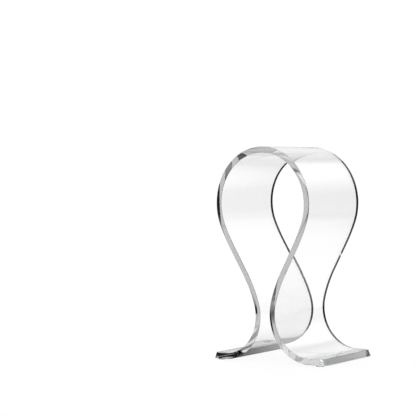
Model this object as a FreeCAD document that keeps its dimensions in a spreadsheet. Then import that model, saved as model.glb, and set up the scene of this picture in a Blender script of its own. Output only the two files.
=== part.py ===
"""Omega headphone stand: one strip of clear acrylic bent on a heated jig, on four bumper pads.

Millimetres, +Z up, origin on the surface the stand rests on, under the middle of the arch.
+X runs across the stand from foot to foot, -Y is the front.
"""
import FreeCAD, Part
import math
import os

import Sketcher
from FreeCAD import Vector

NODE_FOLDER = "parts"

# How far off, in mm, an edge may be and still count as lying on a face.
EDGE_TOLERANCE = 0.01

# Names for the sketcher's built-in geometry: its origin point and its upright axis.
ORIGIN = (-1, 1)
UPRIGHT_AXIS = -2

# Driving dimensions: alias, value (mm or degrees), what it is.
DIMENSIONS = [
    ("stand_height", 245.0, "surface to the top of the arch"),
    ("sheet_thickness", 7.0, "acrylic strip"),
    ("sheet_width", 100.0, "front to back"),
    ("arch_radius", 61.5, "centre line of the headband arch"),
    ("arch_turn", 113.0, "turn of the arch from the top, degrees"),
    ("shoulder_radius", 200.0, "easing from the arch into the straight leg"),
    ("shoulder_turn", 7.5, "turn of the easing, degrees"),
    ("waist_radius", 145.0, "start of the outward sweep above the waist"),
    ("waist_turn", 14.5, "turn of that sweep, degrees"),
    ("foot_radius", 49.0, "tight bend through the waist into the foot"),
    ("foot_run", 17.1, "flat length of each foot"),
    ("end_rake", 25.0, "slant of the cut foot end, degrees"),
    ("corner_radius", 8.0, "plan corners of the feet"),
    ("polish_radius", 0.3, "flame-polished long edges"),
    ("bumper_diameter", 10.0, "stick-on pad"),
    ("bumper_thickness", 1.3, "pad without its adhesive"),
    ("bumper_round", 1.0, "rounded lower rim of the pad"),
    ("adhesive_diameter", 9.0, "disc between pad and acrylic"),
    ("adhesive_thickness", 0.2, "disc between pad and acrylic"),
    ("bumper_spacing_x", 138.0, "pad centres, foot to foot"),
    ("bumper_spacing_y", 86.0, "pad centres, front to back"),
]

# Which way each pad lies from the middle of the stand.
PAD_CORNERS = {
    "front_right": (1, -1),
    "front_left": (-1, -1),
    "rear_right": (1, 1),
    "rear_left": (-1, 1),
}


def make_sheet(doc):
    """The spreadsheet of driving dimensions, one row each: name, value, note."""
    sheet = doc.addObject("Spreadsheet::Sheet", "sizes")
    for row, (alias, value, note) in enumerate(DIMENSIONS, start=1):
        sheet.set("A%d" % row, alias)
        sheet.set("B%d" % row, str(value))
        sheet.setAlias("B%d" % row, alias)
        sheet.set("C%d" % row, note)
    doc.recompute()
    return sheet


def origin_plane(body, role):
    """One of the body's own origin planes."""
    return next(item for item in body.Origin.OriginFeatures if item.Role == role)


def new_sketch(body, name, role):
    sketch = body.newObject("Sketcher::SketchObject", name)
    sketch.AttachmentSupport = [(origin_plane(body, role), "")]
    sketch.MapMode = "FlatFace"
    return sketch


def straight_run(sizes):
    """Length of the straight leg that brings the foot down to the pads."""
    shoulder = math.radians(sizes.arch_turn)
    steepest = math.radians(sizes.arch_turn + sizes.shoulder_turn)
    waist = math.radians(sizes.arch_turn + sizes.shoulder_turn - sizes.waist_turn)
    bends_drop = (
        sizes.arch_radius * (1 - math.cos(shoulder))
        + sizes.shoulder_radius * (math.cos(shoulder) - math.cos(steepest))
        + sizes.waist_radius * (math.cos(waist) - math.cos(steepest))
        + sizes.foot_radius * (1 - math.cos(waist))
    )
    pad_height = sizes.bumper_thickness + sizes.adhesive_thickness
    whole_drop = sizes.stand_height - pad_height - sizes.sheet_thickness
    return (whole_drop - bends_drop) / math.sin(steepest)


def half_route(sizes):
    """Right half of the strip's centre line from the top: bends and straight runs.

    A bend is ("bend", radius, heading in, heading out) and a run is ("run", length, heading).
    Headings are radians below +X. A bend turns down where the heading grows.
    """
    shoulder = math.radians(sizes.arch_turn)
    steepest = math.radians(sizes.arch_turn + sizes.shoulder_turn)
    waist = math.radians(sizes.arch_turn + sizes.shoulder_turn - sizes.waist_turn)
    return [
        ("bend", sizes.arch_radius, 0.0, shoulder),
        ("bend", sizes.shoulder_radius, shoulder, steepest),
        ("run", straight_run(sizes), steepest),
        ("bend", sizes.waist_radius, steepest, waist),
        ("bend", sizes.foot_radius, waist, 0.0),
        ("run", sizes.foot_run, 0.0),
    ]


def outward(heading):
    """Unit vector on the strip's outer side, square to the heading."""
    return Vector(math.sin(heading), math.cos(heading), 0)


def add_bend(sketch, start, radius, heading_in, heading_out):
    """An arc of the outline. Returns its index, its first and last point ends and the end point."""
    turns_down = heading_out > heading_in
    side = -1 if turns_down else 1
    centre = start + outward(heading_in) * (side * radius)
    end = centre - outward(heading_out) * (side * radius)
    circle = Part.Circle(centre, Vector(0, 0, 1), radius)
    first, last = (end, start) if turns_down else (start, end)
    arc = Part.ArcOfCircle(circle, circle.parameter(first), circle.parameter(last))
    index = sketch.addGeometry(arc, False)
    ends = (2, 1) if turns_down else (1, 2)
    return index, ends, end


def add_run(sketch, start, length, heading):
    end = start + Vector(math.cos(heading), -math.sin(heading), 0) * length
    index = sketch.addGeometry(Part.LineSegment(start, end), False)
    return index, (1, 2), end


def bind(sketch, constraint, name, expression):
    """Add a dimension to the sketch and bind it to the spreadsheet."""
    index = sketch.addConstraint(constraint)
    sketch.renameConstraint(index, name)
    sketch.setExpression("Constraints." + name, expression)


def add_face_line(sketch, sizes, face, offset, top_height):
    """One face of the half strip, from the top of the arch to the foot end.

    face names it, and offset is its distance from the centre line, positive on the outer side.
    Returns the list of (geometry index, (first end, last end)) and the last point.
    """
    radius_names = ["arch_radius", "shoulder_radius", None, "waist_radius", "foot_radius", None]
    turn_names = ["arch_turn", "shoulder_turn", None, "waist_turn", None, None]
    half_thickness = "sizes.sheet_thickness / 2"
    chain = []
    point = Vector(0, top_height, 0)
    for step, radius_name, turn_name in zip(half_route(sizes), radius_names, turn_names):
        if step[0] == "run":
            index, ends, point = add_run(sketch, point, step[1], step[2])
        else:
            grows = (step[3] > step[2]) == (offset > 0)
            radius = step[1] + (abs(offset) if grows else -abs(offset))
            index, ends, point = add_bend(sketch, point, radius, step[2], step[3])
            sign = "+" if grows else "-"
            rule = "sizes.%s %s %s" % (radius_name, sign, half_thickness)
            bind(sketch, Sketcher.Constraint("Radius", index, radius), face + "_" + radius_name, rule)
        if turn_name:
            turn = math.radians(getattr(sizes, turn_name))
            bind(
                sketch,
                Sketcher.Constraint("Angle", index, turn),
                face + "_" + turn_name,
                "sizes.%s * 1 deg" % turn_name,
            )
        if chain:
            last_index, last_ends = chain[-1]
            sketch.addConstraint(
                Sketcher.Constraint("Tangent", last_index, last_ends[1], index, ends[0])
            )
        chain.append((index, ends))
    return chain, point


def draw_side_outline(sketch, sizes):
    """Closed outline of the right half of the strip, seen from the front."""
    half = sizes.sheet_thickness / 2
    middle_height = sizes.stand_height - half
    outer, outer_tip = add_face_line(sketch, sizes, "outer", half, middle_height + half)
    inner, inner_tip = add_face_line(sketch, sizes, "inner", -half, middle_height - half)
    top = sketch.addGeometry(
        Part.LineSegment(Vector(0, middle_height - half, 0), Vector(0, middle_height + half, 0)), False
    )
    rake = sizes.sheet_thickness * math.tan(math.radians(sizes.end_rake))
    end = sketch.addGeometry(Part.LineSegment(outer_tip, inner_tip + Vector(rake, 0, 0)), False)

    constrain = sketch.addConstraint
    constrain(Sketcher.Constraint("PointOnObject", outer[0][0], 3, UPRIGHT_AXIS))
    constrain(Sketcher.Constraint("PointOnObject", inner[0][0], 3, UPRIGHT_AXIS))
    constrain(Sketcher.Constraint("Coincident", top, 1, inner[0][0], inner[0][1][0]))
    constrain(Sketcher.Constraint("Coincident", top, 2, outer[0][0], outer[0][1][0]))
    constrain(Sketcher.Constraint("PointOnObject", top, 1, UPRIGHT_AXIS))
    constrain(Sketcher.Constraint("PointOnObject", top, 2, UPRIGHT_AXIS))
    constrain(Sketcher.Constraint("Horizontal", outer[-1][0]))
    constrain(Sketcher.Constraint("Horizontal", inner[-1][0]))
    constrain(Sketcher.Constraint("Coincident", end, 1, outer[-1][0], 2))
    constrain(Sketcher.Constraint("Coincident", end, 2, inner[-1][0], 2))

    pad_height = "(sizes.bumper_thickness + sizes.adhesive_thickness)"
    bind(
        sketch,
        Sketcher.Constraint("DistanceY", *ORIGIN, top, 2, sizes.stand_height),
        "top_of_arch",
        "sizes.stand_height",
    )
    bind(
        sketch,
        Sketcher.Constraint("DistanceY", *ORIGIN, inner[-1][0], 2, inner_tip.y),
        "foot_underside",
        pad_height,
    )
    bind(
        sketch,
        Sketcher.Constraint("Distance", outer[-1][0], sizes.foot_run),
        "flat_of_foot",
        "sizes.foot_run",
    )
    bind(
        sketch,
        Sketcher.Constraint("DistanceX", outer[-1][0], 2, inner[-1][0], 2, rake),
        "rake_of_end",
        "sizes.sheet_thickness * tan(sizes.end_rake * 1 deg)",
    )


def in_cut_face(edge, half_width):
    """True where an edge lies in the front or rear cut face."""
    box = edge.BoundBox
    off_face = abs(abs(box.Center.y) - half_width)
    return off_face < EDGE_TOLERANCE and box.YLength < EDGE_TOLERANCE


def foot_end_edges(shape, half_width):
    """The upright edges at the plan corners of the feet."""
    reach = shape.BoundBox.XMax
    names = []
    for number, edge in enumerate(shape.Edges, start=1):
        box = edge.BoundBox
        at_end = min(abs(box.XMin), abs(box.XMax)) > reach - box.XLength - EDGE_TOLERANCE
        if in_cut_face(edge, half_width) and at_end and box.ZLength > box.XLength:
            names.append("Edge%d" % number)
    return names


def side_edges(shape, half_width):
    """The long edges along the front and rear cut faces."""
    edges = enumerate(shape.Edges, start=1)
    return ["Edge%d" % number for number, edge in edges if in_cut_face(edge, half_width)]


def make_omega_sheet(doc, sizes):
    """The bent acrylic strip: half an outline padded to the width, mirrored, edges finished."""
    body = doc.addObject("PartDesign::Body", "omega_sheet")
    body.Label = "omega_sheet"
    outline = new_sketch(body, "side_outline", "XZ_Plane")
    draw_side_outline(outline, sizes)

    strip = body.newObject("PartDesign::Pad", "half_strip")
    strip.Profile = outline
    strip.SideType = "Symmetric"
    strip.setExpression("Length", "sizes.sheet_width")
    doc.recompute()

    both_halves = body.newObject("PartDesign::Mirrored", "both_halves")
    both_halves.Originals = [strip]
    both_halves.MirrorPlane = (origin_plane(body, "YZ_Plane"), [""])
    both_halves.Refine = True
    body.Tip = both_halves
    doc.recompute()

    half_width = sizes.sheet_width / 2
    corners = body.newObject("PartDesign::Fillet", "foot_corners")
    corners.Base = (both_halves, foot_end_edges(both_halves.Shape, half_width))
    corners.setExpression("Radius", "sizes.corner_radius")
    doc.recompute()

    polish = body.newObject("PartDesign::Fillet", "polished_edges")
    polish.Base = (corners, side_edges(corners.Shape, half_width))
    polish.setExpression("Radius", "sizes.polish_radius")
    body.Tip = polish
    doc.recompute()
    return body


def place_at_corner(part, corner, height_rule):
    """Bind a pad or disc to its place under one corner of the feet."""
    side, depth = corner
    part.setExpression("Placement.Base.x", "%d * sizes.bumper_spacing_x / 2" % side)
    part.setExpression("Placement.Base.y", "%d * sizes.bumper_spacing_y / 2" % depth)
    part.setExpression("Placement.Base.z", height_rule)


def draw_bumper_profile(sketch, sizes):
    """Half section of a pad: flat base, rounded lower rim, straight side, flat top."""
    radius = sizes.bumper_diameter / 2
    top = sizes.bumper_thickness
    rim = sizes.bumper_round
    base_radius = radius - rim
    lines = [
        Part.LineSegment(Vector(0, 0, 0), Vector(base_radius, 0, 0)),
        Part.LineSegment(Vector(radius, rim, 0), Vector(radius, top, 0)),
        Part.LineSegment(Vector(radius, top, 0), Vector(0, top, 0)),
        Part.LineSegment(Vector(0, top, 0), Vector(0, 0, 0)),
    ]
    base, side, upper, middle = [sketch.addGeometry(line, False) for line in lines]
    circle = Part.Circle(Vector(base_radius, rim, 0), Vector(0, 0, 1), rim)
    lower_rim = sketch.addGeometry(Part.ArcOfCircle(circle, -math.pi / 2, 0), False)

    constrain = sketch.addConstraint
    constrain(Sketcher.Constraint("Coincident", base, 1, *ORIGIN))
    constrain(Sketcher.Constraint("Horizontal", base))
    constrain(Sketcher.Constraint("Tangent", base, 2, lower_rim, 1))
    constrain(Sketcher.Constraint("Tangent", lower_rim, 2, side, 1))
    constrain(Sketcher.Constraint("Coincident", side, 2, upper, 1))
    constrain(Sketcher.Constraint("Horizontal", upper))
    constrain(Sketcher.Constraint("Coincident", upper, 2, middle, 1))
    constrain(Sketcher.Constraint("Coincident", middle, 2, base, 1))
    constrain(Sketcher.Constraint("Vertical", middle))
    bind(sketch, Sketcher.Constraint("Radius", lower_rim, rim), "rim", "sizes.bumper_round")
    bind(
        sketch,
        Sketcher.Constraint("DistanceY", *ORIGIN, upper, 1, top),
        "thickness",
        "sizes.bumper_thickness",
    )
    bind(
        sketch,
        Sketcher.Constraint("DistanceX", *ORIGIN, upper, 1, radius),
        "outer_radius",
        "sizes.bumper_diameter / 2",
    )


def make_bumper(doc, sizes, place, corner):
    """One clear stick-on pad, turned from its half section."""
    name = "bumper_" + place
    body = doc.addObject("PartDesign::Body", name)
    body.Label = name
    profile = new_sketch(body, name + "_profile", "XZ_Plane")
    draw_bumper_profile(profile, sizes)
    turned = body.newObject("PartDesign::Revolution", name + "_turned")
    turned.Profile = profile
    turned.ReferenceAxis = (profile, ["V_Axis"])
    turned.Angle = 360
    body.Tip = turned
    place_at_corner(body, corner, "0")
    return body


def make_adhesive(doc, place, corner):
    """The thin round adhesive layer that holds one pad to the foot."""
    name = "adhesive_" + place
    disc = doc.addObject("Part::Cylinder", name)
    disc.Label = name
    disc.setExpression("Radius", "sizes.adhesive_diameter / 2")
    disc.setExpression("Height", "sizes.adhesive_thickness")
    place_at_corner(disc, corner, "sizes.bumper_thickness")
    return disc


def check_pads_on_feet(sizes, strip):
    """The pads must sit inside the foot's edges, on its flat underside."""
    pad_reach = (sizes.bumper_spacing_x + sizes.bumper_diameter) / 2
    pad_depth = (sizes.bumper_spacing_y + sizes.bumper_diameter) / 2
    box = strip.Shape.optimalBoundingBox()
    flat_starts = box.XMax - sizes.foot_run
    if pad_reach > box.XMax or pad_depth > box.YMax:
        raise ValueError("a pad stands out past the edge of the foot")
    if (sizes.bumper_spacing_x - sizes.adhesive_diameter) / 2 < flat_starts:
        raise ValueError("a pad reaches past the flat of the foot")


def check_document(doc, nodes):
    for item in doc.Objects:
        if "Invalid" in item.State or "Error" in item.State:
            raise ValueError("%s failed: %s" % (item.Label, item.State))
    for node in nodes:
        shape = node.Shape
        if shape.isNull() or not shape.isValid() or len(shape.Solids) != 1:
            raise ValueError("%s has no single valid solid" % node.Label)


def write_nodes(nodes):
    os.makedirs(NODE_FOLDER, exist_ok=True)
    for node in nodes:
        node.Shape.exportStep(os.path.join(NODE_FOLDER, node.Label + ".step"))


def report_sizes(nodes):
    for node in nodes:
        box = node.Shape.optimalBoundingBox()
        print(
            "%-24s %7.2f x %7.2f x %7.2f mm, z %6.2f to %6.2f, volume %.1f"
            % (node.Label, box.XLength, box.YLength, box.ZLength, box.ZMin, box.ZMax, node.Shape.Volume)
        )


def main():
    doc = FreeCAD.newDocument("omega_headphone_stand")
    sizes = make_sheet(doc)
    strip = make_omega_sheet(doc, sizes)
    nodes = [strip]
    for place, corner in PAD_CORNERS.items():
        nodes.append(make_bumper(doc, sizes, place, corner))
        nodes.append(make_adhesive(doc, place, corner))
    doc.recompute()
    check_pads_on_feet(sizes, strip)
    check_document(doc, nodes)
    write_nodes(nodes)
    report_sizes(nodes)


main()
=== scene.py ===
"""Omega headphone stand in clear acrylic: the bent strip, its stick-on bumpers and their adhesive.

Metres, +Z up, -Y is the front. The strip is made the way the real one is: a flat plate is cut with
round corners, its edges are polished, and it is then bent along the omega's centre line.
"""

import math

import bmesh
import bpy
from mathutils import Matrix, Vector, noise


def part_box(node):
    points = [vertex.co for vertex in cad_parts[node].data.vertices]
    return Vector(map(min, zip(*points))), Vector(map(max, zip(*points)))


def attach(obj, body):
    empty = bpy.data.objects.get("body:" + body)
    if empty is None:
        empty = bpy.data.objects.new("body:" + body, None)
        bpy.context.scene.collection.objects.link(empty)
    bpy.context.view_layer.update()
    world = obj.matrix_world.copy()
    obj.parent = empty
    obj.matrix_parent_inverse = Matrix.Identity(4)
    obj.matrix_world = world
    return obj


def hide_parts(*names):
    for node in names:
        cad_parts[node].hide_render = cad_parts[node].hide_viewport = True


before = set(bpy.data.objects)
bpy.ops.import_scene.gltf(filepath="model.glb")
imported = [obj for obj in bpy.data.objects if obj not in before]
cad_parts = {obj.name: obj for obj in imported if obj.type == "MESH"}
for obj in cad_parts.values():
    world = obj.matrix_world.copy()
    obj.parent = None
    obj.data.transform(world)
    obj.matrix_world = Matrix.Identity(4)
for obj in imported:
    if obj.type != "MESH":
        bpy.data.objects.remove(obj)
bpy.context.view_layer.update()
scene = bpy.context.scene
MM = 0.001

# ---------------------------------------------------------------- sizes of the bent strip, metres
STRIP_LOW, STRIP_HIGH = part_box("omega_sheet")
STRIP_WIDTH = STRIP_HIGH.y - STRIP_LOW.y
THICKNESS = 7.0 * MM
ARCH_RADIUS = 61.5 * MM
SHOULDER_RADIUS = 200.0 * MM
WAIST_RADIUS = 145.0 * MM
FOOT_RADIUS = 49.0 * MM
FOOT_RUN = 17.04 * MM
ARCH_TURN = math.radians(113.0)
SHOULDER_TURN = math.radians(7.5)
WAIST_TURN = math.radians(14.5)
END_RAKE = math.radians(25.0)
CORNER_RADIUS = 8.0 * MM
POLISH_RADIUS = 0.3 * MM


# ---------------------------------------------------------------- small node helpers
def new_material(name):
    material = bpy.data.materials.new(name)
    material.use_nodes = True
    material.node_tree.nodes.clear()
    return material


def add_node(tree, kind, inputs=None, **settings):
    """A node with its settings and inputs. inputs maps a socket name to a value or an output."""
    node = tree.nodes.new(kind)
    for name, value in settings.items():
        setattr(node, name, value)
    for name, value in (inputs or {}).items():
        if isinstance(value, bpy.types.NodeSocket):
            tree.links.new(value, node.inputs[name])
        else:
            node.inputs[name].default_value = value
    return node


def ramp_between(tree, value, low, high, start=0.0, end=1.0):
    """start where value is low or less, end where it is high or more, with a smooth step between."""
    ramp = add_node(
        tree,
        "ShaderNodeMapRange",
        {"Value": value, "From Min": low, "From Max": high, "To Min": start, "To Max": end},
        interpolation_type="SMOOTHSTEP",
    )
    return ramp.outputs["Result"]


def maths(tree, operation, first, second=0.0):
    node = add_node(tree, "ShaderNodeMath", {0: first, 1: second}, operation=operation)
    return node.outputs[0]


# ---------------------------------------------------------------- the omega's centre line
def straight_run():
    """Length of the straight leg that brings the foot down to the pads."""
    steepest = ARCH_TURN + SHOULDER_TURN
    waist = steepest - WAIST_TURN
    bends_drop = (
        ARCH_RADIUS * (1 - math.cos(ARCH_TURN))
        + SHOULDER_RADIUS * (math.cos(ARCH_TURN) - math.cos(steepest))
        + WAIST_RADIUS * (math.cos(waist) - math.cos(steepest))
        + FOOT_RADIUS * (1 - math.cos(waist))
    )
    whole_drop = STRIP_HIGH.z - STRIP_LOW.z - THICKNESS
    return (whole_drop - bends_drop) / math.sin(steepest)


def half_route():
    """Right half of the centre line as (length, curvature) spans, from the top of the arch."""
    return [
        (ARCH_RADIUS * ARCH_TURN, 1 / ARCH_RADIUS),
        (SHOULDER_RADIUS * SHOULDER_TURN, 1 / SHOULDER_RADIUS),
        (straight_run(), 0.0),
        (WAIST_RADIUS * WAIST_TURN, -1 / WAIST_RADIUS),
        (FOOT_RADIUS * (ARCH_TURN + SHOULDER_TURN - WAIST_TURN), -1 / FOOT_RADIUS),
        (FOOT_RUN, 0.0),
    ]


ROUTE = half_route()
HALF_LENGTH = sum(length for length, _ in ROUTE)


def centre_line(distance):
    """Point (x, z) and heading at a distance along the right half from the top of the arch."""
    x, z, heading = 0.0, STRIP_HIGH.z - THICKNESS / 2, 0.0
    left = distance
    for number, (length, curvature) in enumerate(ROUTE):
        last_span = number == len(ROUTE) - 1
        step = left if last_span else min(left, length)
        if curvature:
            turned = heading + step * curvature
            x += (math.sin(turned) - math.sin(heading)) / curvature
            z += (math.cos(turned) - math.cos(heading)) / curvature
            heading = turned
        else:
            x += step * math.cos(heading)
            z -= step * math.sin(heading)
        left -= step
        if left <= 0:
            break
    return x, z, heading


def bent(along, across, through):
    """A point of the flat plate, carried to its place on the bent strip.

    along runs foot to foot from the middle, across is front to back, through is outwards.
    """
    side = -1.0 if along < 0 else 1.0
    x, z, heading = centre_line(abs(along))
    return Vector(
        (side * (x + through * math.sin(heading)), across, z + through * math.cos(heading))
    )


def bent_direction(along, direction):
    """A direction on the flat plate (along, across, through), turned with the bend at that place."""
    side = -1.0 if along < 0 else 1.0
    _, _, heading = centre_line(abs(along))
    forward = Vector((math.cos(heading), 0, -side * math.sin(heading)))
    outward = Vector((side * math.sin(heading), 0, math.cos(heading)))
    return forward * direction[0] + Vector((0, 1, 0)) * direction[1] + outward * direction[2]


# ---------------------------------------------------------------- the flat plate
STATION_STEP = 1.6 * MM
COLUMNS = 20
CORNER_STEPS = 10
POLISH_STEPS = 4
WAVE_HEIGHT = 0.03 * MM
WAVE_LENGTH = 32.0 * MM
RIPPLE_HEIGHT = 0.02 * MM
RIPPLE_LENGTH = 8.0 * MM
RIPPLE_STRETCH = 7.0
RIPPLE_REACH = 70.0 * MM
SMOOTH_EDGE = 6.0 * MM
SMOOTH_END = 22.0 * MM
SMOOTH_END_FADE = 30.0 * MM


def edge_levels():
    """The rounded edge from the outer face round to the inner one.

    Each level is (inset from the outline, height through the sheet, outward share, upward share).
    """
    levels = []
    for upward in (1, -1):
        steps = range(POLISH_STEPS + 1)
        for step in steps if upward > 0 else reversed(steps):
            turn = math.pi / 2 * step / POLISH_STEPS
            inset = POLISH_RADIUS * (1 - math.sin(turn))
            height = upward * (THICKNESS / 2 - POLISH_RADIUS * (1 - math.cos(turn)))
            levels.append((inset, height, math.sin(turn), upward * math.cos(turn)))
    return levels


def row_places():
    """Rows across the plate as (where the corner centre is, corner angle), from end to end.

    A straight row has angle None and its own place along. A corner row belongs to the corner circle.
    """
    straight_end = HALF_LENGTH - CORNER_RADIUS
    count = 2 * math.ceil(straight_end / STATION_STEP)
    rows = [(-straight_end, -math.pi / 2 * (1 - k / CORNER_STEPS)) for k in range(CORNER_STEPS)]
    rows += [(-straight_end + 2 * straight_end * k / count, None) for k in range(count + 1)]
    rows += [(straight_end, math.pi / 2 * (k + 1) / CORNER_STEPS) for k in range(CORNER_STEPS)]
    return rows


def row_end(row, inset):
    """Place along, half width and outline direction where a row meets the outline at an inset."""
    centre, angle = row
    if angle is None:
        return centre, STRIP_WIDTH / 2 - inset, (0.0, 1.0)
    radius = CORNER_RADIUS - inset
    along = centre + radius * math.sin(angle)
    half_width = STRIP_WIDTH / 2 - CORNER_RADIUS + radius * math.cos(angle)
    return along, half_width, (math.sin(angle), math.cos(angle))


def raked(along, height):
    """The foot ends are cut on a slant, so the underside reaches further out."""
    past = (abs(along) - (HALF_LENGTH - CORNER_RADIUS)) / CORNER_RADIUS
    if past <= 0:
        return along
    reach = (THICKNESS / 2 - height) * math.tan(END_RAKE)
    return along + math.copysign(reach * past, along)


def softened(place, through, seed):
    """Slow unevenness that heating leaves in a bent sheet, fading out at the polished edges.

    Over the top of the arch, where the hot sheet was drawn tight, ripples also run front to back.
    """
    wave = noise.noise(Vector((place[0], place[1], seed)) / WAVE_LENGTH)
    ripple = noise.noise(Vector((place[0], place[1] / RIPPLE_STRETCH, seed + 1.0)) / RIPPLE_LENGTH)
    over_top = max(0.0, 1.0 - (place[0] / RIPPLE_REACH) ** 2)
    edge_room = min(1.0, max(0.0, (STRIP_WIDTH / 2 - abs(place[1])) / SMOOTH_EDGE))
    from_end = HALF_LENGTH - SMOOTH_END - abs(place[0])
    end_room = min(1.0, max(0.0, from_end / SMOOTH_END_FADE))
    waves = WAVE_HEIGHT * (0.5 + 0.5 * wave) * end_room
    ripples = RIPPLE_HEIGHT * (0.5 + 0.5 * ripple) * over_top
    return through - math.copysign((waves + ripples) * edge_room, through)


def make_strip():
    """The whole strip as one closed mesh with exact normals, bent from the flat plate."""
    rows = row_places()
    levels = edge_levels()
    places, normals, sawn_shares, faces = [], [], [], []

    def add_point(along, across, height, direction):
        sawn_shares.append(max(0.0, direction[0]))
        places.append(bent(raked(along, height), across, softened((along, across), height, height)))
        normals.append(bent_direction(along, direction).normalized())
        return len(places) - 1

    def make_face_grid(level, upward):
        inset, height = level[0], level[1]
        grid = []
        for row in rows:
            along, half_width, _ = row_end(row, inset)
            points = []
            for column in range(COLUMNS + 1):
                across = half_width * (2 * column / COLUMNS - 1)
                points.append(add_point(along, across, height, (0, 0, upward)))
            grid.append(points)
        return grid

    def outline_ring(level):
        """Points round the outline at one level, in the order front, far end, rear, near end."""
        inset, height, outward, upward = level
        ring = []
        for row in rows:
            along, half_width, (out_x, out_y) = row_end(row, inset)
            direction = (outward * out_x, -outward * out_y, upward)
            ring.append(add_point(along, -half_width, height, direction))
        last_along, last_half, _ = row_end(rows[-1], inset)
        for column in range(1, COLUMNS):
            across = last_half * (2 * column / COLUMNS - 1)
            ring.append(add_point(last_along, across, height, (outward, 0, upward)))
        for row in reversed(rows):
            along, half_width, (out_x, out_y) = row_end(row, inset)
            direction = (outward * out_x, outward * out_y, upward)
            ring.append(add_point(along, half_width, height, direction))
        first_along, first_half, _ = row_end(rows[0], inset)
        for column in range(1, COLUMNS):
            across = first_half * (1 - 2 * column / COLUMNS)
            ring.append(add_point(first_along, across, height, (-outward, 0, upward)))
        return ring

    def grid_ring(grid):
        front = [points[0] for points in grid]
        far = grid[-1][1:-1]
        rear = [points[-1] for points in reversed(grid)]
        near = grid[0][-2:0:-1]
        return front + far + rear + near

    outer_grid = make_face_grid(levels[0], 1)
    inner_grid = make_face_grid(levels[-1], -1)
    for grid, upward in ((outer_grid, True), (inner_grid, False)):
        for lower, upper in zip(grid[:-1], grid[1:]):
            for column in range(COLUMNS):
                quad = (lower[column], upper[column], upper[column + 1], lower[column + 1])
                faces.append(quad if upward else quad[::-1])

    rings = [grid_ring(outer_grid)]
    rings += [outline_ring(level) for level in levels[1:-1]]
    rings.append(grid_ring(inner_grid))
    for upper, lower in zip(rings[:-1], rings[1:]):
        for start in range(len(upper)):
            after = (start + 1) % len(upper)
            faces.append((upper[start], lower[start], lower[after], upper[after]))

    mesh = bpy.data.meshes.new("omega_strip")
    mesh.from_pydata(places, [], faces)
    mesh.shade_smooth()
    mesh.normals_split_custom_set_from_vertices(normals)
    sawn = mesh.attributes.new("sawn_end", "FLOAT", "POINT")
    sawn.data.foreach_set("value", sawn_shares)
    strip = bpy.data.objects.new("omega_strip", mesh)
    scene.collection.objects.link(strip)
    return strip


# ---------------------------------------------------------------- bumpers and their adhesive
# A hair of air between clear layers, so light meets each face in turn.
AIR_GAP = 0.01 * MM
LOWER_RIM = 0.95 * MM
LOWER_RIM_STEPS = 8
UPPER_RIM = 0.12 * MM
UPPER_RIM_STEPS = 4


def pad_places():
    """Middle of each pad on the surface, from the frame's own pads."""
    places = []
    for name in sorted(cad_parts):
        if name.startswith("bumper_"):
            low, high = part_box(name)
            places.append(((low.x + high.x) / 2, (low.y + high.y) / 2, low.z))
    return places


def lathed(name, profile, turns=48):
    """A solid of revolution from (radius, height) points that start and end on the axis."""
    shape = bmesh.new()
    points = [shape.verts.new((radius, 0, height)) for radius, height in profile]
    edges = [shape.edges.new(pair) for pair in zip(points[:-1], points[1:])]
    bmesh.ops.spin(
        shape,
        geom=points + edges,
        cent=(0, 0, 0),
        axis=(0, 0, 1),
        angle=2 * math.pi,
        steps=turns,
        use_merge=True,
    )
    bmesh.ops.remove_doubles(shape, verts=shape.verts, dist=1e-7)
    bmesh.ops.recalc_face_normals(shape, faces=shape.faces)
    mesh = bpy.data.meshes.new(name)
    shape.to_mesh(mesh)
    shape.free()
    mesh.shade_smooth()
    return mesh


def bumper_profile(radius, height):
    """Flat base, round lower rim and a slightly drawn-in top, as (radius, height) points."""
    base, top = radius - LOWER_RIM, radius - UPPER_RIM
    points = [(0.0, 0.0), (base * 0.5, 0.0)]
    for step in range(LOWER_RIM_STEPS + 1):
        turn = math.pi / 2 * step / LOWER_RIM_STEPS
        points.append((base + LOWER_RIM * math.sin(turn), LOWER_RIM - LOWER_RIM * math.cos(turn)))
    for step in range(UPPER_RIM_STEPS + 1):
        turn = math.pi / 2 * step / UPPER_RIM_STEPS
        rise = UPPER_RIM * math.sin(turn)
        points.append((top + UPPER_RIM * math.cos(turn), height - UPPER_RIM + rise))
    points += [(top * 0.5, height), (0.0, height)]
    return points


def disc_profile(radius, low, high):
    """A plain flat disc, as (radius, height) points."""
    half = radius * 0.5
    return [(0.0, low), (half, low), (radius, low), (radius, high), (half, high), (0.0, high)]


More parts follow.
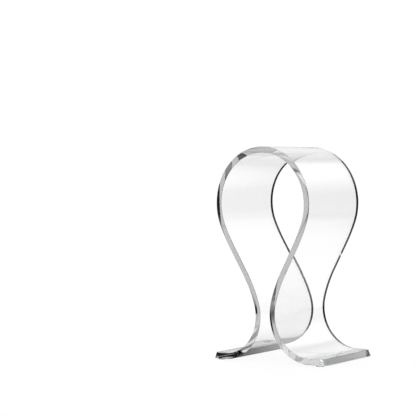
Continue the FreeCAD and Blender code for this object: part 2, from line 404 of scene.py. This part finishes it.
def place_four(name, shape, material):
    """One object holding a copy of shape at each pad's place, laid out by a Geometry Nodes tree."""
    tree = bpy.data.node_groups.new(name + "_layout", "GeometryNodeTree")
    tree.interface.new_socket("Geometry", in_out="INPUT", socket_type="NodeSocketGeometry")
    spacing_x, spacing_y = (
        tree.interface.new_socket(label, in_out="INPUT", socket_type="NodeSocketFloat")
        for label in ("Spacing across", "Spacing front to back")
    )
    tree.interface.new_socket("Geometry", in_out="OUTPUT", socket_type="NodeSocketGeometry")
    start = add_node(tree, "NodeGroupInput")
    grid = add_node(
        tree,
        "GeometryNodeMeshGrid",
        {
            "Size X": start.outputs["Spacing across"],
            "Size Y": start.outputs["Spacing front to back"],
            "Vertices X": 2,
            "Vertices Y": 2,
        },
    )
    copies = add_node(
        tree,
        "GeometryNodeInstanceOnPoints",
        {"Points": grid.outputs["Mesh"], "Instance": start.outputs["Geometry"]},
    )
    solid = add_node(tree, "GeometryNodeRealizeInstances", {"Geometry": copies.outputs["Instances"]})
    finish = add_node(
        tree,
        "GeometryNodeSetMaterial",
        {"Geometry": solid.outputs["Geometry"], "Material": material},
    )
    end = add_node(tree, "NodeGroupOutput")
    tree.links.new(finish.outputs["Geometry"], end.inputs["Geometry"])

    places = pad_places()
    source = bpy.data.objects.new(name, shape)
    scene.collection.objects.link(source)
    layout = source.modifiers.new("layout", "NODES")
    layout.node_group = tree
    layout[spacing_x.identifier] = max(p[0] for p in places) - min(p[0] for p in places)
    layout[spacing_y.identifier] = max(p[1] for p in places) - min(p[1] for p in places)
    bpy.context.view_layer.update()
    evaluated = source.evaluated_get(bpy.context.evaluated_depsgraph_get())
    finished = bpy.data.meshes.new_from_object(evaluated)
    source.modifiers.clear()
    source.data = finished
    return source


# ---------------------------------------------------------------- effects the finishes share
SCRATCH_TURNS = (0.4, 1.7)
SCRATCH_AXIS = (0.3, 1.0, 0.5)
SCRATCH_SQUEEZE = (1.0, 0.05, 0.05)
SCRATCH_THIN, SCRATCH_GONE = 0.015, 0.05
SCRATCH_PATCHES = 22.0
SCRATCH_PATCH_FADE = 0.15
SMUDGE_STARTS, SMUDGE_FULL = 0.52, 0.72
RAREST_SPECK = 0.6
LARGEST_SPECK = 0.22
DUST_ON_WALLS = 0.06
WALL_FACING, TOP_FACING = 0.2, 0.95


def new_effect(name, inputs, outputs):
    """An empty node group with named sockets: (name, kind) pairs in and out."""
    tree = bpy.data.node_groups.new(name, "ShaderNodeTree")
    for socket_name, kind in inputs:
        tree.interface.new_socket(socket_name, in_out="INPUT", socket_type="NodeSocket" + kind)
    for socket_name, kind in outputs:
        tree.interface.new_socket(socket_name, in_out="OUTPUT", socket_type="NodeSocket" + kind)
    return tree, add_node(tree, "NodeGroupInput").outputs, add_node(tree, "NodeGroupOutput").inputs


def scaled(tree, vector, amount):
    node = add_node(tree, "ShaderNodeVectorMath", {0: vector, "Scale": amount}, operation="SCALE")
    return node.outputs["Vector"]


def scratch_set(tree, place, spacing, turn):
    """One family of fine straight scratches, long one way and hair thin the other."""
    turned = add_node(
        tree, "ShaderNodeVectorRotate", {"Vector": place, "Angle": turn, "Axis": SCRATCH_AXIS}
    )
    per_spacing = scaled(tree, turned.outputs["Vector"], maths(tree, "DIVIDE", 1.0, spacing))
    drawn = add_node(
        tree, "ShaderNodeVectorMath", {0: per_spacing, 1: SCRATCH_SQUEEZE}, operation="MULTIPLY"
    )
    cells = add_node(tree, "ShaderNodeTexVoronoi", {"Vector": drawn.outputs["Vector"], "Scale": 1.0})
    return ramp_between(tree, cells.outputs["Distance"], SCRATCH_THIN, SCRATCH_GONE, 1.0, 0.0)


def make_scratches_effect():
    """Fine scratches from wiping and handling. Coverage 0 to 1 says how much of the surface has them."""
    tree, start, end = new_effect(
        "fine_scratches",
        [("Place", "Vector"), ("Spacing", "Float"), ("Coverage", "Float")],
        [("Scratches", "Float")],
    )
    first = scratch_set(tree, start["Place"], start["Spacing"], SCRATCH_TURNS[0])
    second = scratch_set(tree, start["Place"], start["Spacing"], SCRATCH_TURNS[1])
    patches = add_node(
        tree,
        "ShaderNodeTexNoise",
        {"Vector": scaled(tree, start["Place"], SCRATCH_PATCHES), "Scale": 1.0, "Detail": 3.0},
    )
    bare = maths(tree, "SUBTRACT", 1.0, start["Coverage"])
    fade = maths(tree, "ADD", bare, SCRATCH_PATCH_FADE)
    where = ramp_between(tree, patches.outputs["Fac"], bare, fade)
    both = maths(tree, "MAXIMUM", first, second)
    tree.links.new(maths(tree, "MULTIPLY", both, where), end["Scratches"])
    return tree


def make_smudges_effect():
    """Soft cloudy patches where hands and cloths have touched."""
    tree, start, end = new_effect(
        "handling_smudges", [("Place", "Vector"), ("Size", "Float")], [("Smudges", "Float")]
    )
    per_size = scaled(tree, start["Place"], maths(tree, "DIVIDE", 1.0, start["Size"]))
    clouds = add_node(
        tree,
        "ShaderNodeTexNoise",
        {"Vector": per_size, "Scale": 1.0, "Detail": 4.0, "Roughness": 0.55, "Distortion": 0.6},
    )
    tree.links.new(ramp_between(tree, clouds.outputs["Fac"], SMUDGE_STARTS, SMUDGE_FULL), end["Smudges"])
    return tree


def make_dust_effect():
    """Fine dust specks, thickest where the surface faces up."""
    tree, start, end = new_effect(
        "settled_dust",
        [("Place", "Vector"), ("Facing", "Vector"), ("Spacing", "Float")],
        [("Dust", "Float")],
    )
    per_speck = scaled(tree, start["Place"], maths(tree, "DIVIDE", 1.0, start["Spacing"]))
    specks = add_node(tree, "ShaderNodeTexVoronoi", {"Vector": per_speck, "Scale": 1.0})
    colours = add_node(tree, "ShaderNodeSeparateColor", {"Color": specks.outputs["Color"]})
    speck_size = colours.outputs["Red"]
    reach = ramp_between(tree, speck_size, RAREST_SPECK, 1.0, 0.0, LARGEST_SPECK)
    speck = maths(tree, "LESS_THAN", specks.outputs["Distance"], reach)
    upward = add_node(tree, "ShaderNodeSeparateXYZ", {"Vector": start["Facing"]}).outputs["Z"]
    settled = ramp_between(tree, upward, WALL_FACING, TOP_FACING, DUST_ON_WALLS, 1.0)
    tree.links.new(maths(tree, "MULTIPLY", speck, settled), end["Dust"])
    return tree


def make_grain_effect():
    """A fine moulded or coated grain, as a height between 0 and 1."""
    tree, start, end = new_effect(
        "fine_grain", [("Place", "Vector"), ("Size", "Float")], [("Height", "Float")]
    )
    per_size = scaled(tree, start["Place"], maths(tree, "DIVIDE", 1.0, start["Size"]))
    grain = add_node(tree, "ShaderNodeTexNoise", {"Vector": per_size, "Scale": 1.0, "Detail": 2.0})
    tree.links.new(grain.outputs["Fac"], end["Height"])
    return tree


EFFECTS = {
    "scratches": make_scratches_effect(),
    "smudges": make_smudges_effect(),
    "dust": make_dust_effect(),
    "grain": make_grain_effect(),
}


def effect(tree, name, inputs):
    """A shared effect used in a material. Gives its one output."""
    node = add_node(tree, "ShaderNodeGroup", node_tree=EFFECTS[name])
    for socket, value in inputs.items():
        if isinstance(value, bpy.types.NodeSocket):
            tree.links.new(value, node.inputs[socket])
        else:
            node.inputs[socket].default_value = value
    return node.outputs[0]


def surface_place(tree):
    return add_node(tree, "ShaderNodeTexCoord").outputs["Object"]


def surface_facing(tree):
    return add_node(tree, "ShaderNodeNewGeometry").outputs["Normal"]


def tinted(tree, clean, marked, amount):
    """The clean colour, going over to the marked one as amount rises to 1."""
    mix = add_node(tree, "ShaderNodeMix", {0: amount, 6: clean, 7: marked}, data_type="RGBA")
    return mix.outputs[2]


def raised(tree, height, depth):
    """A normal from a height of 0 to 1 that stands for depth metres."""
    bump = add_node(tree, "ShaderNodeBump", {"Height": height, "Distance": depth, "Strength": 1.0})
    return bump.outputs["Normal"]


# ---------------------------------------------------------------- finishes
CLEAR = (1.0, 1.0, 1.0, 1.0)
DUSTY = (0.93, 0.92, 0.90, 1.0)
# Light lost inside the sheet: barely seen through its thickness, clearly along its cut edges.
ACRYLIC_TINT = (0.50, 0.52, 0.52, 1.0)
ACRYLIC_DENSITY = 5.0
SAWN_ROUGHNESS = 0.9
SAWN_STARTS, SAWN_FULL = 0.6, 0.95
SMUDGE_SIZE = 45.0 * MM
SCRATCH_SPACING = 3.5 * MM
SCRATCH_COVERAGE = 0.55
DUST_SPACING = 1.6 * MM
SMUDGE_ROUGHNESS = 0.02
SCRATCH_ROUGHNESS = 0.10
DUST_ROUGHNESS = 0.35
SCRATCH_DEPTH = 0.004 * MM
SAW_STEP = 0.9 * MM
SAW_DEPTH = 0.02 * MM


def make_acrylic():
    """Clear cast acrylic: polished all over but for the sawn end, with faint smudges and scratches."""
    material = new_material("clear_acrylic")
    tree = material.node_tree
    place = surface_place(tree)
    sawn = add_node(tree, "ShaderNodeAttribute", attribute_name="sawn_end").outputs["Fac"]
    sawn = ramp_between(tree, sawn, SAWN_STARTS, SAWN_FULL)
    smudges = effect(tree, "smudges", {"Place": place, "Size": SMUDGE_SIZE})
    scratch_values = {"Place": place, "Spacing": SCRATCH_SPACING, "Coverage": SCRATCH_COVERAGE}
    scratches = effect(tree, "scratches", scratch_values)
    dust_values = {"Place": place, "Facing": surface_facing(tree), "Spacing": DUST_SPACING}
    dust = effect(tree, "dust", dust_values)

    roughness = maths(tree, "MULTIPLY", smudges, SMUDGE_ROUGHNESS)
    for mask, its_roughness in (
        (scratches, SCRATCH_ROUGHNESS),
        (dust, DUST_ROUGHNESS),
        (sawn, SAWN_ROUGHNESS),
    ):
        rough_there = maths(tree, "MULTIPLY", mask, its_roughness)
        roughness = maths(tree, "MAXIMUM", roughness, rough_there)

    saw_marks = effect(tree, "grain", {"Place": place, "Size": SAW_STEP})
    saw_marks = maths(tree, "MULTIPLY", saw_marks, sawn)
    saw_height = maths(tree, "MULTIPLY", saw_marks, SAW_DEPTH / SCRATCH_DEPTH)
    height = maths(tree, "SUBTRACT", saw_height, scratches)
    surface = add_node(
        tree,
        "ShaderNodeBsdfPrincipled",
        {
            "Base Color": tinted(tree, CLEAR, DUSTY, dust),
            "Roughness": roughness,
            "IOR": 1.49,
            "Transmission Weight": 1.0,
            "Normal": raised(tree, height, SCRATCH_DEPTH),
        },
    )
    depth = add_node(
        tree,
        "ShaderNodeVolumeAbsorption",
        {"Color": ACRYLIC_TINT, "Density": ACRYLIC_DENSITY},
    )
    add_node(
        tree,
        "ShaderNodeOutputMaterial",
        {"Surface": surface.outputs["BSDF"], "Volume": depth.outputs["Volume"]},
    )
    return material


BUMPER_NEW = (0.95, 0.96, 0.96, 1.0)
BUMPER_AGED = (0.88, 0.88, 0.84, 1.0)
BUMPER_LINT = (0.75, 0.74, 0.71, 1.0)
BUMPER_ROUGHNESS = 0.08
BUMPER_AGED_ROUGHER = 0.14
LINT_ROUGHNESS = 0.5
LINT_FACING = (0.0, 0.0, 0.7)
LINT_SPACING = 0.9 * MM
AGED_SIZE = 6.0 * MM
BUMPER_GRAIN_SIZE = 0.4 * MM
BUMPER_GRAIN_DEPTH = 0.006 * MM


def make_bumper_material():
    """Soft clear polyurethane: a satin moulded skin that picks up lint and dulls a little with age."""
    material = new_material("clear_bumper")
    tree = material.node_tree
    place = surface_place(tree)
    aged = effect(tree, "smudges", {"Place": place, "Size": AGED_SIZE})
    grain = effect(tree, "grain", {"Place": place, "Size": BUMPER_GRAIN_SIZE})
    lint = effect(tree, "dust", {"Place": place, "Facing": LINT_FACING, "Spacing": LINT_SPACING})
    aged_rougher = maths(tree, "MULTIPLY", aged, BUMPER_AGED_ROUGHER)
    roughness = maths(tree, "ADD", BUMPER_ROUGHNESS, aged_rougher)
    roughness = maths(tree, "MAXIMUM", roughness, maths(tree, "MULTIPLY", lint, LINT_ROUGHNESS))
    colour = tinted(tree, BUMPER_NEW, BUMPER_AGED, aged)
    surface = add_node(
        tree,
        "ShaderNodeBsdfPrincipled",
        {
            "Base Color": tinted(tree, colour, BUMPER_LINT, lint),
            "Roughness": roughness,
            "IOR": 1.47,
            "Transmission Weight": 1.0,
            "Normal": raised(tree, grain, BUMPER_GRAIN_DEPTH),
        },
    )
    add_node(tree, "ShaderNodeOutputMaterial", {"Surface": surface.outputs["BSDF"]})
    return material


ADHESIVE_CLEAR = (0.93, 0.94, 0.92, 1.0)
ADHESIVE_CLOUDY = (0.84, 0.85, 0.80, 1.0)
ADHESIVE_ROUGHNESS = 0.2
CLOUDY_ROUGHER = 0.2
CLOUDY_SIZE = 3.0 * MM
BUBBLE_FACING = (0.0, 0.0, 1.0)
BUBBLE_SPACING = 1.2 * MM
ADHESIVE_GRAIN_SIZE = 0.7 * MM
ADHESIVE_GRAIN_DEPTH = 0.01 * MM


def make_adhesive_material():
    """Clear acrylic adhesive film: slightly cloudy, with a few trapped air bubbles."""
    material = new_material("clear_adhesive")
    tree = material.node_tree
    place = surface_place(tree)
    cloudy = effect(tree, "smudges", {"Place": place, "Size": CLOUDY_SIZE})
    bubble_values = {"Place": place, "Facing": BUBBLE_FACING, "Spacing": BUBBLE_SPACING}
    bubbles = effect(tree, "dust", bubble_values)
    grain = effect(tree, "grain", {"Place": place, "Size": ADHESIVE_GRAIN_SIZE})
    cloudy_rougher = maths(tree, "MULTIPLY", cloudy, CLOUDY_ROUGHER)
    roughness = maths(tree, "ADD", ADHESIVE_ROUGHNESS, cloudy_rougher)
    roughness = maths(tree, "MULTIPLY", roughness, maths(tree, "SUBTRACT", 1.0, bubbles))
    surface = add_node(
        tree,
        "ShaderNodeBsdfPrincipled",
        {
            "Base Color": tinted(tree, ADHESIVE_CLEAR, ADHESIVE_CLOUDY, cloudy),
            "Roughness": roughness,
            "IOR": 1.47,
            "Transmission Weight": 1.0,
            "Normal": raised(tree, maths(tree, "SUBTRACT", grain, bubbles), ADHESIVE_GRAIN_DEPTH),
        },
    )
    add_node(tree, "ShaderNodeOutputMaterial", {"Surface": surface.outputs["BSDF"]})
    return material


# ---------------------------------------------------------------- camera, floor and light
CAMERA_AZIMUTH = math.radians(39.4)
CAMERA_PITCH = math.radians(0.74)
CAMERA_ROLL = math.radians(-1.83)
CAMERA_DISTANCE = 1.458
CAMERA_LENS = 108.95
AIM_ACROSS = -0.0921
AIM_HEIGHT = 0.177

# What reflections see of the studio: a lit backdrop, a low horizon, a softbox and a light overhead.
# Headings turn from straight behind the stand, to the right if positive. Heights are the upward share
# of a direction. FULL and EDGE say how far round from its heading each light is whole and gone.
SWEEP_BACK = (-math.sin(CAMERA_AZIMUTH), math.cos(CAMERA_AZIMUTH), 0.0)
SWEEP_ACROSS = (math.cos(CAMERA_AZIMUTH), math.sin(CAMERA_AZIMUTH), 0.0)
BACKDROP_HEADING = math.radians(-48)
BACKDROP_FULL = math.cos(math.radians(58))
BACKDROP_EDGE = math.cos(math.radians(92))
BACKDROP_RISE = (0.06, 0.20)
BACKDROP_LIGHT = 0.95
HORIZON_HEADING = math.radians(-15)
HORIZON_FULL = math.cos(math.radians(18))
HORIZON_EDGE = math.cos(math.radians(52))
HORIZON_LIGHT = 0.75
HORIZON_FALL = (0.10, 0.24)
SOFTBOX_HEADING = math.radians(62)
SOFTBOX_FULL = math.cos(math.radians(12))
SOFTBOX_EDGE = math.cos(math.radians(32))
SOFTBOX_LOW = (0.10, 0.56)
SOFTBOX_HIGH = (0.62, 0.75)
SOFTBOX_LIGHT = 1.1
OVERHEAD_STARTS = 0.74
OVERHEAD_FULL = 0.88
OVERHEAD_LIGHT = 1.6
# DARK_FLAG is the near-black of the studio in reflections; the floor also uses it as painted dark.
DARK_FLAG = 0.015
# The paper in reflections is painted light and shade: a painted pool of light by the stand, a painted glow
# of the far paper under the horizon, and painted dark elsewhere.
POOL_ACROSS = 0.20
POOL_BEHIND = 0.08
POOL_STRETCH = 1.4
POOL_FULL = 0.05
POOL_GONE = 0.37
POOL_LIGHT = 0.75
PAPER_RISE = (0.1, 0.6)
# The paper and the wall seen directly: white, with a slight glow behind the stand.
PAPER_SHADE = 0.12
FLOOR_RADIUS = 6.0
DIP_HEIGHT = -0.007
DIP_REACH = 0.05
DIP_WHITE = 1.0
WALL_WHITE = 1.06
PAPER_NEAR = (-0.1, 0.3)
PAPER_NEAR_WHITE = 1.0
PAPER_WHITE = 1.1
PAPER_FAR = (1.0, 6.0)
PAPER_FAR_WHITE = 1.0


def make_camera():
    """A long lens from the front right, level with the upper part of the stand."""
    back = Vector(
        (
            math.sin(CAMERA_AZIMUTH) * math.cos(CAMERA_PITCH),
            -math.cos(CAMERA_AZIMUTH) * math.cos(CAMERA_PITCH),
            math.sin(CAMERA_PITCH),
        )
    )
    level_right = Vector((math.cos(CAMERA_AZIMUTH), math.sin(CAMERA_AZIMUTH), 0))
    level_up = back.cross(level_right)
    right = level_right * math.cos(CAMERA_ROLL) + level_up * math.sin(CAMERA_ROLL)
    up = level_up * math.cos(CAMERA_ROLL) - level_right * math.sin(CAMERA_ROLL)
    aim = level_right * AIM_ACROSS + Vector((0, 0, AIM_HEIGHT))
    place = aim + back * CAMERA_DISTANCE
    lens = bpy.data.cameras.new("camera")
    lens.lens = CAMERA_LENS
    lens.sensor_width = 36.0
    lens.clip_start = 0.05
    lens.clip_end = 50.0
    camera = bpy.data.objects.new("camera", lens)
    camera.matrix_world = Matrix(
        (
            (right.x, up.x, back.x, place.x),
            (right.y, up.y, back.y, place.y),
            (right.z, up.z, back.z, place.z),
            (0, 0, 0, 1),
        )
    )
    scene.collection.objects.link(camera)
    scene.camera = camera


def along_direction(tree, vector, direction):
    """How far a vector reaches along a fixed direction."""
    node = add_node(tree, "ShaderNodeVectorMath", {0: vector, 1: direction}, operation="DOT_PRODUCT")
    return node.outputs["Value"]


def seen_in_mirror(tree):
    """1 for light that was reflected at least once on its way to the lens."""
    path = add_node(tree, "ShaderNodeLightPath")
    return maths(tree, "GREATER_THAN", path.outputs["Glossy Depth"], 0.5)


def heading_vector(turn):
    """The level direction that lies turn to the right of straight behind the stand."""
    back, across = Vector(SWEEP_BACK), Vector(SWEEP_ACROSS)
    return tuple(back * math.cos(turn) + across * math.sin(turn))


def make_floor():
    """White paper. In reflections it shows painted light instead: a painted pool of light by the stand that
    fades out, a painted glow of the far paper, and painted dark elsewhere.
    """
    bpy.ops.mesh.primitive_circle_add(vertices=64, radius=FLOOR_RADIUS, fill_type="NGON")
    floor = bpy.context.active_object
    floor.name = "studio_floor"
    material = new_material("pale_floor")
    tree = material.node_tree
    place = add_node(tree, "ShaderNodeTexCoord").outputs["Object"]
    across = along_direction(tree, place, SWEEP_ACROSS)
    behind = along_direction(tree, place, SWEEP_BACK)
    from_middle = maths(tree, "MULTIPLY", maths(tree, "SUBTRACT", behind, POOL_BEHIND), POOL_STRETCH)
    from_pool = add_node(
        tree,
        "ShaderNodeCombineXYZ",
        {"X": maths(tree, "SUBTRACT", across, POOL_ACROSS), "Y": from_middle},
    )
    pool_reach = add_node(tree, "ShaderNodeVectorMath", {0: from_pool.outputs["Vector"]}, operation="LENGTH")
    # painted pool of light: emission falling off from a spot beside the stand, seen only in reflections
    pool = ramp_between(tree, pool_reach.outputs["Value"], POOL_FULL, POOL_GONE, POOL_LIGHT, 0.0)
    # painted glow of the far paper towards the horizon, seen only in reflections
    outwards = add_node(tree, "ShaderNodeVectorMath", {0: place}, operation="NORMALIZE")
    to_horizon = along_direction(tree, outwards.outputs["Vector"], heading_vector(HORIZON_HEADING))
    painted_far_paper = ramp_between(tree, to_horizon, HORIZON_EDGE, HORIZON_FULL, 0.0, HORIZON_LIGHT)
    painted_far_paper = maths(tree, "MULTIPLY", painted_far_paper, ramp_between(tree, behind, *PAPER_RISE))
    # painted dark: outside the painted pool and the far paper, reflections see the floor near-black
    mirrored = maths(tree, "MAXIMUM", maths(tree, "MAXIMUM", pool, painted_far_paper), DARK_FLAG)
    shaded = add_node(tree, "ShaderNodeBsdfDiffuse", {"Color": (0.99, 0.99, 0.99, 1.0)})
    near_white = ramp_between(tree, behind, *PAPER_NEAR, PAPER_NEAR_WHITE, PAPER_WHITE)
    far_white = ramp_between(tree, behind, *PAPER_FAR, PAPER_WHITE, PAPER_FAR_WHITE)
    white = maths(tree, "MINIMUM", near_white, far_white)
    lit = add_node(tree, "ShaderNodeEmission", {"Color": (1, 1, 1, 1), "Strength": white})
    paper = add_node(
        tree,
        "ShaderNodeMixShader",
        {0: PAPER_SHADE, 1: lit.outputs["Emission"], 2: shaded.outputs["BSDF"]},
    )
    seen = add_node(tree, "ShaderNodeEmission", {"Color": (1, 1, 1, 1), "Strength": mirrored})
    surface = add_node(
        tree,
        "ShaderNodeMixShader",
        {0: seen_in_mirror(tree), 1: paper.outputs["Shader"], 2: seen.outputs["Emission"]},
    )
    add_node(tree, "ShaderNodeOutputMaterial", {"Surface": surface.outputs["Shader"]})
    floor.data.materials.append(material)


def make_studio():
    """White all round where it is seen directly. Reflections see the separate lights."""
    world = bpy.data.worlds.new("studio")
    scene.world = world
    world.use_nodes = True
    tree = world.node_tree
    tree.nodes.clear()
    direction = add_node(tree, "ShaderNodeTexCoord").outputs["Generated"]
    height = add_node(tree, "ShaderNodeSeparateXYZ", {"Vector": direction}).outputs["Z"]
    flat = add_node(
        tree, "ShaderNodeVectorMath", {0: direction, 1: (1.0, 1.0, 0.0)}, operation="MULTIPLY"
    )
    level = add_node(tree, "ShaderNodeVectorMath", {0: flat.outputs["Vector"]}, operation="NORMALIZE")
    heading = level.outputs["Vector"]

    to_backdrop = along_direction(tree, heading, heading_vector(BACKDROP_HEADING))
    backdrop = ramp_between(tree, to_backdrop, BACKDROP_EDGE, BACKDROP_FULL, 0.0, BACKDROP_LIGHT)
    backdrop = maths(tree, "MULTIPLY", backdrop, ramp_between(tree, height, *BACKDROP_RISE))
    to_horizon = along_direction(tree, heading, heading_vector(HORIZON_HEADING))
    horizon = ramp_between(tree, to_horizon, HORIZON_EDGE, HORIZON_FULL, 0.0, HORIZON_LIGHT)
    horizon = maths(tree, "MULTIPLY", horizon, ramp_between(tree, height, *HORIZON_FALL, 1.0, 0.0))
    backdrop = maths(tree, "MAXIMUM", backdrop, horizon)

    to_softbox = along_direction(tree, heading, heading_vector(SOFTBOX_HEADING))
    softbox = ramp_between(tree, to_softbox, SOFTBOX_EDGE, SOFTBOX_FULL, 0.0, SOFTBOX_LIGHT)
    softbox = maths(tree, "MULTIPLY", softbox, ramp_between(tree, height, *SOFTBOX_LOW))
    softbox = maths(tree, "MULTIPLY", softbox, ramp_between(tree, height, *SOFTBOX_HIGH, 1.0, 0.0))

    overhead = ramp_between(tree, height, OVERHEAD_STARTS, OVERHEAD_FULL, DARK_FLAG, OVERHEAD_LIGHT)
    mirrored = maths(tree, "MAXIMUM", maths(tree, "MAXIMUM", backdrop, softbox), overhead)
    from_dip = maths(tree, "ABSOLUTE", maths(tree, "SUBTRACT", height, DIP_HEIGHT))
    direct = ramp_between(tree, from_dip, 0.0, DIP_REACH, DIP_WHITE, WALL_WHITE)
    mix = add_node(tree, "ShaderNodeMix", {0: seen_in_mirror(tree), 2: direct}, data_type="FLOAT")
    tree.links.new(mirrored, mix.inputs[3])
    sky = add_node(tree, "ShaderNodeBackground", {"Color": (1, 1, 1, 1), "Strength": mix.outputs[0]})
    add_node(tree, "ShaderNodeOutputWorld", {"Surface": sky.outputs["Background"]})


def set_light_paths():
    """Room for the many inner reflections of a clear solid."""
    cycles = scene.cycles
    cycles.max_bounces = 32
    cycles.transmission_bounces = 32
    cycles.glossy_bounces = 32
    cycles.transparent_max_bounces = 16
    scene.view_settings.view_transform = "Standard"
    scene.view_settings.look = "None"


# ---------------------------------------------------------------- the whole stand
def main():
    make_camera()
    make_floor()
    make_studio()
    set_light_paths()

    strip = make_strip()
    strip.data.materials.append(make_acrylic())
    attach(strip, "root")
    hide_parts("omega_sheet")

    low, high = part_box("bumper_front_right")
    profile = bumper_profile((high.x - low.x) / 2, high.z - low.z - 2 * AIR_GAP)
    bumper_shape = lathed("bumper", [(radius, height + AIR_GAP) for radius, height in profile])
    bumpers = place_four("bumpers", bumper_shape, make_bumper_material())
    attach(bumpers, "root")
    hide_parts(*[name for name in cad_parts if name.startswith("bumper_")])

    low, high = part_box("adhesive_front_right")
    disc_shape = lathed("adhesive", disc_profile((high.x - low.x) / 2, low.z + AIR_GAP, high.z - AIR_GAP))
    discs = place_four("adhesive_discs", disc_shape, make_adhesive_material())
    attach(discs, "root")
    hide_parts(*[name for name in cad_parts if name.startswith("adhesive_")])


main()
